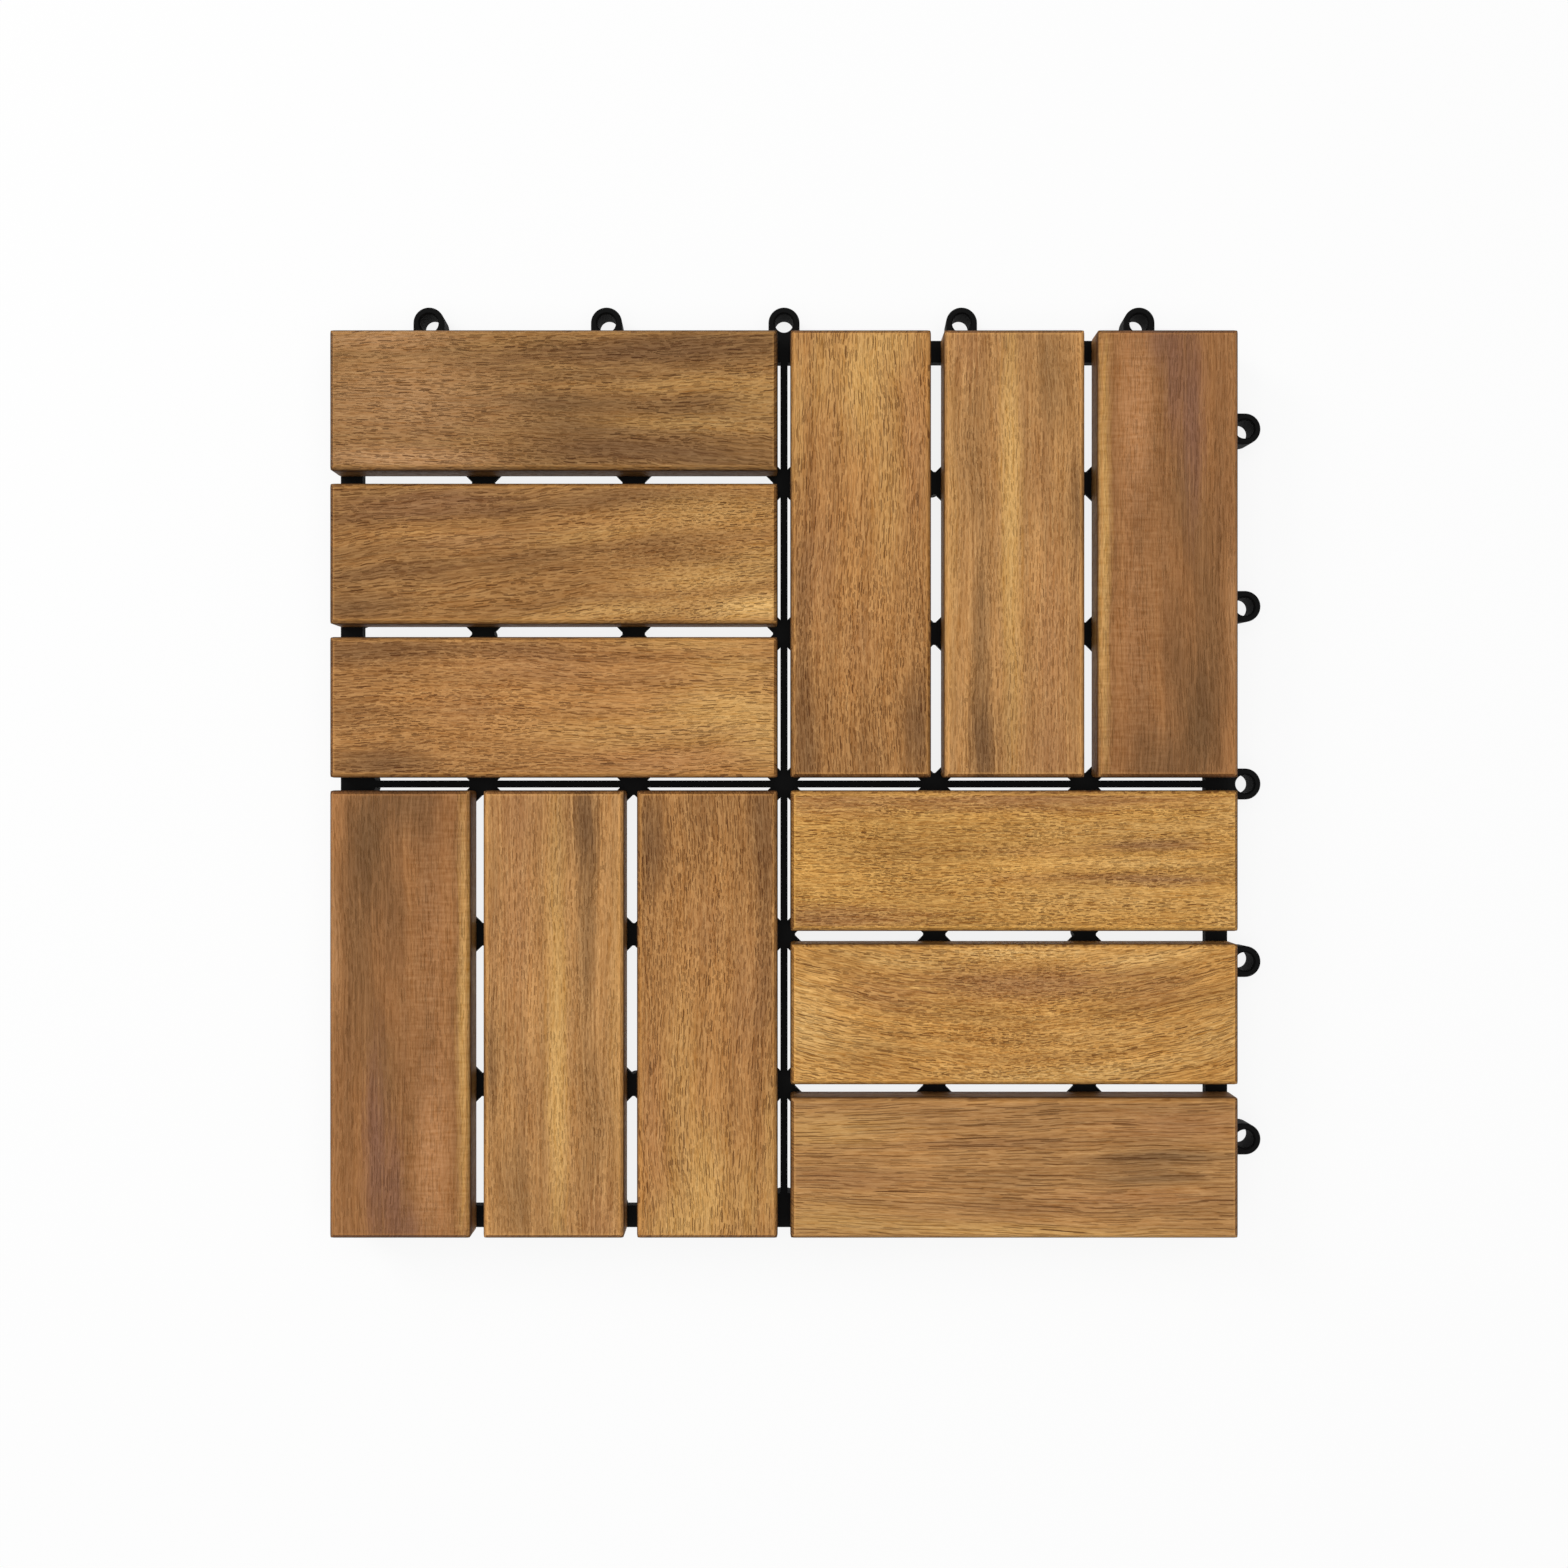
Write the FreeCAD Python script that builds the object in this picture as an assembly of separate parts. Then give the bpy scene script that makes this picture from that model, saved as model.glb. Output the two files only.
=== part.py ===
import FreeCAD, Part
import os

# Interlocking deck tile
#
# Twelve hardwood slats lie in a basket pattern, four panels of three, on one
# moulded plastic base. The base is an open diamond grid inside a square rail.
# Five loops stand out of the right edge and five out of the back edge. Five
# pegs hang inside the left edge and five inside the front edge, each in a
# pocket, so that the pegs of one tile drop into the loops of the next. Two
# countersunk screws hold each slat from below.
#
# The origin is the middle of the tile at floor level, X runs to the right
# edge, Y to the back edge and Z up. All sizes are in millimetres.

Vector = FreeCAD.Vector

# Slats
slat_width = 46.5            # across the grain
slat_gap = 4.2               # between two slats, and between two panels
slats_per_panel = 3
slat_thick = 12.0
slat_top_bevel = 1.3         # along the upper edges
slat_corner_round = 1.0      # at the upright corners
slat_bottom_chamfer = 0.5

# Base grid
base_height = 12.0           # floor to the underside of the slats
rail_setback = 0.2           # slat ends to the outer face of the rail
rail_width = 7.8
grid_depth = 4.1             # depth of the rails and ribs
deck_thick = 1.8             # top wall of the rails and ribs
lip_thick = 1.8              # upright walls under the edges of a rail
diagonal_width = 4.8         # top wall of a diagonal rib
stem_thick = 2.0             # upright wall under a diagonal rib
centre_rib_thick = 2.4       # ribs under the gaps between the panels
node_width = 7.5             # square where the ribs cross above a foot
bead_height = 1.3            # full face of the rail below its recess
recess_depth = 0.5           # recess of the rail's face
corner_plain = 16.0          # plain face of the rail at each corner

# Feet, pins and corner legs
foot_top_radius = 3.5
foot_tip_radius = 2.9
pin_radius = 1.7
pin_chamfer = 0.7
fin_width = 4.6
fin_thick = 1.8
fin_end_height = 2.6         # floor to the lower edge of the fin
fin_slope = 0.9              # each side of the fin draws in by this
pin_count = 4                # on each edge, halfway between the links
leg_width = 8.0
leg_wall = 2.6
leg_draft = 0.5
leg_chamfer = 1.0

# Links: loops on two edges, pegs on the other two
link_pitch = 60.0
link_count = 5
laid_gap = 0.5               # between the slat ends of two laid tiles
loop_reach = 5.8             # slat ends to the middle of a loop
loop_radius = 5.25           # outside, at the top
loop_draft = 0.35            # the outside is this much smaller at the bottom
loop_bottom = 0.2
loop_bore_radius = 3.1
loop_step = 0.4              # the mouth of the bore is this much wider
loop_step_depth = 0.9
loop_chamfer = 0.4
peg_play = 0.3               # peg to bore, all round
peg_end_height = 1.0
peg_chamfer = 0.8
pocket_play = 0.35           # pocket to the loop of the next tile
pocket_top_play = 0.3
pocket_wall = 1.4
pocket_roof = 1.2
pocket_wall_end = 4.0        # floor to the lower edge of the pocket's wall

# Screws
screw_radius = 1.7
screw_head_radius = 3.4
screw_head_rim = 0.5
screw_cone = 1.9             # height of the head's cone
screw_bite = 8.5             # length inside the slat
screw_point = 2.2            # length of the tapered point
screw_sink = 0.4             # boss face to the head
screw_hole_play = 0.25       # shank in the boss
screw_seat_play = 0.05       # head on its seat, shank in the slat
cross_width = 0.9
cross_length = 3.6
cross_depth = 1.1
boss_radius = 5.0

# Worked out from the sizes above
slat_step = slat_width + slat_gap
slat_length = slats_per_panel * slat_step - slat_gap
tile_half = slat_gap / 2 + slat_length
slat_lines = [slat_step * (i + 0.5) for i in range(slats_per_panel)]
node_lines = [slat_step * i for i in range(1 - slats_per_panel, slats_per_panel)]
screw_rows = (slat_lines[0], slat_lines[-1])    # places of the two screws along each slat
slat_top = base_height + slat_thick
rail_face = tile_half - rail_setback
rail_inner = rail_face - rail_width
grid_bottom = base_height - grid_depth
deck_bottom = base_height - deck_thick
link_places = [link_pitch * (i - (link_count - 1) / 2) for i in range(link_count)]
pin_places = [link_pitch * (i - (pin_count - 1) / 2) for i in range(pin_count)]
loop_centre = tile_half + loop_reach
laid_pitch = 2 * tile_half + laid_gap
peg_centre = laid_pitch - loop_centre
peg_radius = loop_bore_radius - peg_play
pocket_radius = loop_radius + pocket_play
pocket_top = base_height - pocket_roof
loop_top = pocket_top - pocket_top_play
head_bottom = grid_bottom + screw_sink
cone_top = head_bottom + screw_head_rim + screw_cone
screw_tip = base_height + screw_bite


def box(x0, x1, y0, y1, z0, z1):
    """Box between two opposite corners."""
    return Part.makeBox(x1 - x0, y1 - y0, z1 - z0, Vector(x0, y0, z0))


def flat_face(corners):
    """Plane face on a closed outline of points."""
    return Part.Face(Part.makePolygon(corners + corners[:1]))


def revolved(outline):
    """Solid turned about the Z axis from a closed outline of (radius, height) points."""
    face = flat_face([Vector(radius, 0, z) for radius, z in outline])
    return face.revolve(Vector(0, 0, 0), Vector(0, 0, 1), 360)


def turned(shape, degrees):
    """Copy of a shape, turned about the tile's upright middle line."""
    copy = shape.copy()
    copy.rotate(Vector(0, 0, 0), Vector(0, 0, 1), degrees)
    return copy


def moved(shape, x, y):
    """Copy of a shape, moved over the floor."""
    copy = shape.copy()
    copy.translate(Vector(x, y, 0))
    return copy


def fused(shapes):
    """One clean solid of all the shapes."""
    return shapes[0].multiFuse(shapes[1:]).removeSplitter()


def edges_where(shape, test):
    """Edges whose start and end points pass the test."""
    return [edge for edge in shape.Edges if test(edge.firstVertex().Point, edge.lastVertex().Point)]


# Screws
def screw():
    """Countersunk wood screw on the Z axis, its head down, from the floor's height up."""
    outline = [
        (0.0, head_bottom),
        (screw_head_radius, head_bottom),
        (screw_head_radius, head_bottom + screw_head_rim),
        (screw_radius, cone_top),
        (screw_radius, screw_tip - screw_point),
        (0.0, screw_tip),
    ]
    half_length, half_width = cross_length / 2, cross_width / 2
    cross = box(-half_length, half_length, -half_width, half_width, grid_bottom, head_bottom + cross_depth)
    return revolved(outline).cut(cross).cut(turned(cross, 90))


def screw_seat():
    """What a screw needs cut out of its boss: a sink for the head and a hole for the shank."""
    sink = head_bottom + screw_head_rim - screw_seat_play
    wide = screw_head_radius + screw_seat_play
    narrow = screw_radius + screw_hole_play
    cone = screw_cone * (wide - narrow) / (screw_head_radius - screw_radius)
    outline = [
        (0.0, grid_bottom - 1),
        (wide, grid_bottom - 1),
        (wide, sink),
        (narrow, sink + cone),
        (narrow, base_height + 1),
        (0.0, base_height + 1),
    ]
    return revolved(outline)


def pilot_hole():
    """Hole that a screw fills in the underside of its slat."""
    radius = screw_radius + screw_seat_play
    straight = screw_tip - screw_point - base_height
    hole = Part.makeCylinder(radius, straight + 1, Vector(0, 0, base_height - 1))
    point = Part.makeCone(radius, 0, screw_point + screw_seat_play, Vector(0, 0, base_height + straight))
    return hole.fuse(point)


# Slats
def slat(index):
    """One slat of the back right panel, which runs along Y: bevelled above, its upright corners eased."""
    x0 = slat_lines[index] - slat_width / 2
    y0 = slat_gap / 2
    plank = box(x0, x0 + slat_width, y0, y0 + slat_length, base_height, slat_top)
    upright = edges_where(plank, lambda start, end: abs(start.z - end.z) > 1)
    upper = edges_where(plank, lambda start, end: min(start.z, end.z) > slat_top - 0.01)
    rounded = plank.makeFillet(slat_corner_round, upright)
    plank = plank.makeChamfer(slat_top_bevel, upper).common(rounded)
    lower = edges_where(plank, lambda start, end: max(start.z, end.z) < base_height + 0.01)
    plank = plank.makeChamfer(slat_bottom_chamfer, lower)
    hole = pilot_hole()
    for row in screw_rows:
        plank = plank.cut(moved(hole, slat_lines[index], row))
    return plank


# Rail
def rail_section():
    """Rail of the right edge: a channel that opens downwards, with a recessed face."""
    outer = rail_face
    channel = box(rail_inner, outer, -rail_face, rail_face, grid_bottom, base_height)
    hollow_half = rail_face - rail_width
    hollow = box(
        rail_inner + lip_thick, outer - recess_depth - lip_thick,
        -hollow_half, hollow_half, grid_bottom - 1, deck_bottom,
    )
    recess_half = rail_face - corner_plain
    recess = box(
        outer - recess_depth, outer + 1,
        -recess_half, recess_half, grid_bottom + bead_height, base_height + 1,
    )
    return channel.cut(hollow).cut(recess)


# Diamond grid
def diagonal_rib(offset):
    """Rib along the line y = x + offset, in the shape of a T, cut off inside the rails."""
    half = rail_inner + lip_thick
    reach = 2 * half
    flange = box(-reach, reach, -diagonal_width / 2, diagonal_width / 2, deck_bottom, base_height)
    stem = box(-reach, reach, -stem_thick / 2, stem_thick / 2, grid_bottom, base_height)
    rib = turned(flange.fuse(stem), 45)
    room = box(-half, half, -half, half, grid_bottom - 1, base_height + 1)
    return moved(rib, 0, offset).common(room)


def centre_rib():
    """Rib along X under the gap between two panels, from rail to rail."""
    end = rail_inner + lip_thick / 2
    half = centre_rib_thick / 2
    return box(-end, end, -half, half, grid_bottom, base_height)


def foot():
    """Round foot on the Z axis, with the square deck that the ribs cross in."""
    half = node_width / 2
    deck = box(-half, half, -half, half, deck_bottom, base_height)
    return deck.fuse(Part.makeCone(foot_tip_radius, foot_top_radius, deck_bottom))


def edge_pin():
    """Pin and fin of the right edge, at y = 0: they carry the rail between two links."""
    centre = rail_inner + lip_thick
    shank = Part.makeCylinder(pin_radius, deck_bottom - pin_chamfer, Vector(centre, 0, pin_chamfer))
    pin = shank.fuse(Part.makeCone(pin_radius - pin_chamfer, pin_radius, pin_chamfer, Vector(centre, 0, 0)))
    top, low = fin_width / 2, fin_width / 2 - fin_slope
    outer = rail_face - recess_depth
    outline = [
        Vector(outer - fin_thick, -top, deck_bottom),
        Vector(outer - fin_thick, top, deck_bottom),
        Vector(outer - fin_thick, low, fin_end_height),
        Vector(outer - fin_thick, -low, fin_end_height),
    ]
    fin = flat_face(outline).extrude(Vector(fin_thick, 0, 0))
    web = box(centre, outer - fin_thick / 2, -fin_thick / 2, fin_thick / 2, fin_end_height, deck_bottom)
    return pin.fuse(fin).fuse(web)


def leg_outline(draft, z):
    """Closed L outline of a corner leg, its outer faces drawn in by the draft."""
    outer = rail_face - draft
    inner = rail_face - leg_width + draft
    wall = rail_face - leg_wall
    points = [(outer, outer), (inner, outer), (inner, wall), (wall, wall), (wall, inner), (outer, inner)]
    corners = [Vector(x, y, z) for x, y in points]
    return Part.makePolygon(corners + corners[:1])


def corner_leg():
    """Leg of the back right corner: an L in plan, drafted, with a chamfered lower end."""
    bevel = leg_draft + leg_chamfer / 2
    upper = Part.makeLoft([leg_outline(leg_draft, leg_chamfer), leg_outline(0, deck_bottom)], True, True)
    lower = Part.makeLoft([leg_outline(bevel, 0), leg_outline(leg_draft, leg_chamfer)], True, True)
    return upper.fuse(lower)


# Links
def loop():
    """Loop of the right edge at y = 0: a drafted ring with a neck back to the rail, without its bore."""
    levels = [
        (loop_bottom, loop_radius - loop_draft),
        (loop_top - loop_chamfer, loop_radius),
        (loop_top, loop_radius - loop_chamfer),
    ]
    axis = [(0.0, loop_top), (0.0, loop_bottom)]
    ring = revolved([(radius, z) for z, radius in levels] + axis)
    side = [(-radius, z) for z, radius in levels] + [(radius, z) for z, radius in reversed(levels)]
    root = rail_inner + lip_thick
    neck = flat_face([Vector(root, y, z) for y, z in side]).extrude(Vector(loop_centre - root, 0, 0))
    return neck.fuse(moved(ring, loop_centre, 0))


def loop_bore():
    """Bore of a loop, wider at its mouth."""
    height = loop_top - loop_bottom
    bore = Part.makeCylinder(loop_bore_radius, height + 2, Vector(loop_centre, 0, loop_bottom - 1))
    mouth = Part.makeCylinder(
        loop_bore_radius + loop_step, loop_step_depth + 1, Vector(loop_centre, 0, loop_top - loop_step_depth),
    )
    return bore.fuse(mouth)


def pocket_plan(radius, outer, z0, z1):
    """U in plan about a peg of the left edge, open to the outside, as a solid."""
    start, end = Vector(-peg_centre, radius, z0), Vector(-peg_centre, -radius, z0)
    arc = Part.Arc(start, Vector(-peg_centre + radius, 0, z0), end).toShape()
    corner_low, corner_high = Vector(-outer, -radius, z0), Vector(-outer, radius, z0)
    lines = [
        Part.makeLine(end, corner_low),
        Part.makeLine(corner_low, corner_high),
        Part.makeLine(corner_high, start),
    ]
    return Part.Face(Part.Wire([arc] + lines)).extrude(Vector(0, 0, z1 - z0))


def pocket_shell():
    """Wall and roof round the pocket of a peg of the left edge, at y = 0."""
    outer = rail_face - recess_depth - lip_thick
    return pocket_plan(pocket_radius + pocket_wall, outer, pocket_wall_end, base_height)


def pocket_space():
    """Room that the loop of the next tile takes, open below and to the outside."""
    return pocket_plan(pocket_radius, tile_half + 1, -1, pocket_top)


def peg():
    """Peg of the left edge at y = 0, with a chamfered end."""
    shank = Part.makeCylinder(
        peg_radius, pocket_top - peg_end_height - peg_chamfer,
        Vector(-peg_centre, 0, peg_end_height + peg_chamfer),
    )
    tip = Part.makeCone(peg_radius - peg_chamfer, peg_radius, peg_chamfer, Vector(-peg_centre, 0, peg_end_height))
    cap = Part.makeCylinder(peg_radius, base_height - pocket_top, Vector(-peg_centre, 0, pocket_top))
    return fused([shank, tip, cap])


# Base, moulded as one piece
def base_grid():
    """Rails, diamond grid, bosses, feet, pins, legs, loops and pegs in one solid."""
    rails = [turned(rail_section(), 90 * side) for side in range(4)]
    last = 2 * slats_per_panel - 1
    ribs = [diagonal_rib(slat_step * i) for i in range(-last, last + 1)]
    ribs += [turned(rib, 90) for rib in ribs]
    ribs += [centre_rib(), turned(centre_rib(), 90)]

    stud = foot()
    studs = [moved(stud, x, y) for x in node_lines for y in node_lines]

    bosses, seats = [], []
    boss = Part.makeCylinder(boss_radius, grid_depth, Vector(0, 0, grid_bottom))
    seat = screw_seat()
    for side in range(4):
        for x in slat_lines:
            for y in screw_rows:
                bosses.append(turned(moved(boss, x, y), 90 * side))
                seats.append(turned(moved(seat, x, y), 90 * side))

    supports = []
    for side in range(4):
        supports += [turned(moved(edge_pin(), 0, y), 90 * side) for y in pin_places]
        supports.append(turned(corner_leg(), 90 * side))

    loops, bores, shells, spaces, pegs = [], [], [], [], []
    for y in link_places:
        for side in (0, 90):
            loops.append(turned(moved(loop(), 0, y), side))
            bores.append(turned(moved(loop_bore(), 0, y), side))
            shells.append(turned(moved(pocket_shell(), 0, y), side))
            spaces.append(turned(moved(pocket_space(), 0, y), side))
            pegs.append(turned(moved(peg(), 0, y), side))

    solid = fused(rails + ribs + studs + bosses + supports + loops + shells)
    solid = solid.cut(Part.makeCompound(spaces + bores + seats))
    return fused([solid] + pegs)


# Screws, two for each slat
def slat_screws():
    """All the screws as separate solids."""
    one = screw()
    places = [(x, y) for x in slat_lines for y in screw_rows]
    return [turned(moved(one, x, y), 90 * side) for side in range(4) for x, y in places]


# Write the parts, panel by panel, counterclockwise from the back right
os.makedirs("parts", exist_ok=True)
slats = [slat(index) for index in range(slats_per_panel)]
for side, panel in enumerate(("ne", "nw", "sw", "se")):
    for number, piece in enumerate(slats, 1):
        turned(piece, 90 * side).exportStep("parts/slat_%s_%d.step" % (panel, number))

base = base_grid()
base.exportStep("parts/base_grid.step")
Part.makeCompound(slat_screws()).exportStep("parts/slat_screws.step")

print("slat %.1f x %.1f x %.1f mm, tile %.1f mm" % (slat_length, slat_width, slat_thick, 2 * tile_half))
print("base solids %d, valid %s, volume %.1f cm3" % (len(base.Solids), base.isValid(), base.Volume / 1000))
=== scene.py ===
# %% [markdown]
# An interlocking deck tile, dressed for its portrait
#
# The tile is a square of twelve hardwood slats, screwed from below to one black moulded grid.
# Its solids come packed from the workshop drawing, in metres, with the middle of the tile at
# floor level as the origin. This lesson keeps the moulded grid and the screws as they are,
# shapes each slat again with softened, slightly uneven edges, and then mixes the finishes.

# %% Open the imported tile
import math

import bpy
import numpy as np
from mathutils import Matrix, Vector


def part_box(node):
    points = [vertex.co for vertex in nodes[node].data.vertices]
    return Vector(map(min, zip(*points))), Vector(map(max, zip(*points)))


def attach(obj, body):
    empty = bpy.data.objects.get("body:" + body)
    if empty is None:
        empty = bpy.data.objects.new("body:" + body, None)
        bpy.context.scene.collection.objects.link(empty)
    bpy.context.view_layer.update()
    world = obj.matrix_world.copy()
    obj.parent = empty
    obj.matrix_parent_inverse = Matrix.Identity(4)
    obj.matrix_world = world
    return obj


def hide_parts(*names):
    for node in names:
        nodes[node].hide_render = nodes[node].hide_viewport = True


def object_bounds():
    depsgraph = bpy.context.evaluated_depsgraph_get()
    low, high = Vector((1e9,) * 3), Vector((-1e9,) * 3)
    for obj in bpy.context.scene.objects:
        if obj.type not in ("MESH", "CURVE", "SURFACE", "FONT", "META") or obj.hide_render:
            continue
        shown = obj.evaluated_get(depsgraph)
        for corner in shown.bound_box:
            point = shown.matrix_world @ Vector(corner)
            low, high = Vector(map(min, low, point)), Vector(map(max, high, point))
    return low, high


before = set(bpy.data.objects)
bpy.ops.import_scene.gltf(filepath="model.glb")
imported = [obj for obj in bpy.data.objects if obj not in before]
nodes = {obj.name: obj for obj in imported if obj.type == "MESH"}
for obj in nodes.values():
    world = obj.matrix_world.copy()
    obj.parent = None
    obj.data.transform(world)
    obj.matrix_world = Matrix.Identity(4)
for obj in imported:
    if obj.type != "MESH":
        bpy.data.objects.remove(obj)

cad_low, cad_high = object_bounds()
mm = 0.001
print("pieces in the frame:", len(nodes))

# %% [markdown]
# The outline of a slat
#
# A planed slat has four edges taken off at 45 degrees along its top, upright corners that are
# eased by hand, and a small chamfer below. A box with a bevel modifier would give one even,
# lifeless edge. Here the upper skin is a height over the plan instead: the plan is a grid of
# lines that crowd together near the edges, and the height follows from how far a point lies
# inside the outline. That leaves room to vary the bevel and the face a little, as a planer and
# a sander do.

# %% Sizes of a slat that the frame doesn't give
top_bevel = 1.3 * mm
corner_round = 1.0 * mm
bottom_chamfer = 0.5 * mm
edge_softness = 0.26 * mm       # from a corner to where its curve begins and ends
border = 2.0 * mm               # width of the edge where the lines crowd together
line_spacing_across = 1.5 * mm
line_spacing_along = 2.4 * mm
print("lines on the face, in m:", line_spacing_across, "across by", line_spacing_along, "along")


# %% A bent line with soft corners
def softened(corners, reach, steps):
    """Line through the corners, each inner corner C replaced by a short curve from A to B.

    A and B lie at the reach before and after C, and the curve is
    (1 - t) squared times A, plus 2 t (1 - t) times C, plus t squared times B.
    """
    corners = np.asarray(corners, float)
    middle = corners[1:-1]

    def towards(others):
        away = others - middle
        return middle + reach * away / np.linalg.norm(away, axis=1, keepdims=True)

    t = np.linspace(0, 1, steps)[None, :, None]
    start, end = towards(corners[:-2])[:, None], towards(corners[2:])[:, None]
    curves = (1 - t) ** 2 * start + 2 * t * (1 - t) * middle[:, None] + t ** 2 * end
    return np.vstack([corners[:1], curves.reshape(-1, 2), corners[-1:]])


# An edge is a line of pairs: how far inside the outline, and how high over the face or underside.
upper_corners = [(0, -2 * top_bevel), (0, -top_bevel), (top_bevel, 0), (border, 0)]
upper_edge = softened(upper_corners, reach=edge_softness, steps=5)[1:]
lower_corners = bottom_chamfer * np.array([(0, 2), (0, 1), (1, 0), (3, 0)])
lower_edge = softened(lower_corners, reach=0.4 * bottom_chamfer, steps=3)
print("rings over the upper edge:", len(upper_edge), "and under the lower edge:", len(lower_edge))


# %% The plan grid with rounded corners
def plan_lines(length, spacing):
    """Places of the lines across one side: the rings of the border, even steps, and the rings again."""
    rings = upper_edge[:-1, 0]
    steps = max(2, round((length - 2 * border) / spacing))
    inner = np.linspace(border, length - border, steps + 1)
    return np.concatenate([rings, inner, length - rings[::-1]])


def round_the_corner(p, q):
    """Move points of the border's corner square so that the square's outer corner becomes an arc.

    A point lies on the ring m = max(p, q). The ring's corner has the radius r = corner_round times
    (m / border) squared. The point goes t = (m - r + r pi / 4) min(p, q) / m along the ring: t up
    the straight part, and what is more than m - r round the arc.
    """
    m = np.maximum(p, q)
    r = corner_round * (m / border) ** 2
    straight = m - r
    t = (straight + r * math.pi / 4) * np.minimum(p, q) / m
    angle = np.clip(t - straight, 0, None) / r
    long_leg = straight + r * np.cos(angle)
    short_leg = np.where(t > straight, straight + r * np.sin(angle), t)
    return np.where(p >= q, long_leg, short_leg), np.where(p >= q, short_leg, long_leg)


def plan_grid(width, length):
    """Grid over a rectangle with rounded corners, and how far each point lies inside the nearest side."""
    across, along = np.meshgrid(
        plan_lines(width, line_spacing_across), plan_lines(length, line_spacing_along), indexing="ij",
    )
    p = border - np.minimum(across, width - across)
    q = border - np.minimum(along, length - along)
    near_corner = (p > 0) & (q > 0)
    round_p, round_q = round_the_corner(np.where(near_corner, p, border), np.where(near_corner, q, border))
    p, q = np.where(near_corner, round_p, p), np.where(near_corner, round_q, q)
    x = np.where(across < width / 2, border - p, width - border + p)
    y = np.where(along < length / 2, border - q, length - border + q)
    return x - width / 2, y - length / 2, border - np.maximum(p, q)


# %% [markdown]
# The skin of a slat
#
# The skin is three sheets sewn along shared points, so no seam can open: the upper grid, a wall
# that goes down round the outline, and the same grid again underneath. The face of real decking
# is never flat to the eye: the planer leaves long shallow waves and the sander eats into an edge
# here and there. Both only take wood away, so the slat stays inside its drawing.

# %% Waves that the planer and the sander leave
planer_marks = ((90 * mm, 0.07 * mm), (37 * mm, 0.035 * mm), (14 * mm, 0.012 * mm))  # length, depth
planer_squeeze = 0.8            # wave length across the slat, over the wave length along it
sander_turns = (3, 5, 9, 16, 29)  # waves on the way round the outline
sander_depth = 0.055 * mm
sander_reach = 3 * mm
sander_calm = 2.2               # divides the sum of the waves


def planer_waves(x, y, rng):
    """Depth taken off the face by three pairs of sine waves of random place and direction.

    A pair takes its depth times (1 + half the wave along + half the wave across) / 2.
    """
    taken = np.zeros_like(x)
    for wave_length, depth in planer_marks:
        phase = rng.uniform(0, 2 * math.pi, 2)
        skew = rng.uniform(-0.5, 0.5)
        along = np.sin(2 * math.pi * (y + skew * x) / wave_length + phase[0])
        across = np.sin(2 * math.pi * (x - skew * y) / (planer_squeeze * wave_length) + phase[1])
        taken += depth * (1 + 0.5 * along + 0.5 * across) / 2
    return taken


def sander_bites(x, y, inset, rng):
    """Extra depth near the edge, from slow sine waves of random place round the outline.

    Depth = sander_depth times (1 + sum of waves / sander_calm), where that is above zero, times
    (1 - inset / sander_reach). A wave of n turns is 1 / square root of n high.
    """
    angle = np.arctan2(y / np.abs(y).max(), x / np.abs(x).max())
    waves = sum(
        np.sin(turns * angle + rng.uniform(0, 2 * math.pi)) / turns ** 0.5 for turns in sander_turns
    )
    fade = np.clip(1 - inset / sander_reach, 0, 1)
    return sander_depth * (1 + waves / sander_calm).clip(0) * fade


print("the planer takes up to", round(sum(depth for _, depth in planer_marks) / mm, 3), "mm")


# %% Stitches between the sheets
def outline_places(columns, rows):
    """Grid numbers of the outline, in order, counterclockwise seen from above."""
    number = np.arange(columns * rows).reshape(columns, rows)
    return np.concatenate([number[:, 0], number[-1, 1:], number[-2::-1, -1], number[0, -2:0:-1]])


def grid_faces(columns, rows):
    """One four-cornered face for each cell of a grid, counterclockwise seen from above."""
    number = np.arange(columns * rows).reshape(columns, rows)
    cells = [number[:-1, :-1], number[1:, :-1], number[1:, 1:], number[:-1, 1:]]
    return np.stack([cell.ravel() for cell in cells], axis=1)


def ring_faces(rings):
    """Faces between each ring of points and the next lower one."""
    upper, lower = rings[:-1], rings[1:]
    corners = [upper, lower, np.roll(lower, -1, axis=1), np.roll(upper, -1, axis=1)]
    return np.stack([corner.ravel() for corner in corners], axis=1)


# %% Sew the skin
def lowered(plan, width, length, inset, height):
    """Plan points at one height, scaled so that the outline draws in by the inset on every side."""
    drawn_in = plan[:, :2] * (1 - 2 * inset / np.array([width, length]))
    return np.column_stack([drawn_in, np.full(len(plan), height)])


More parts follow.
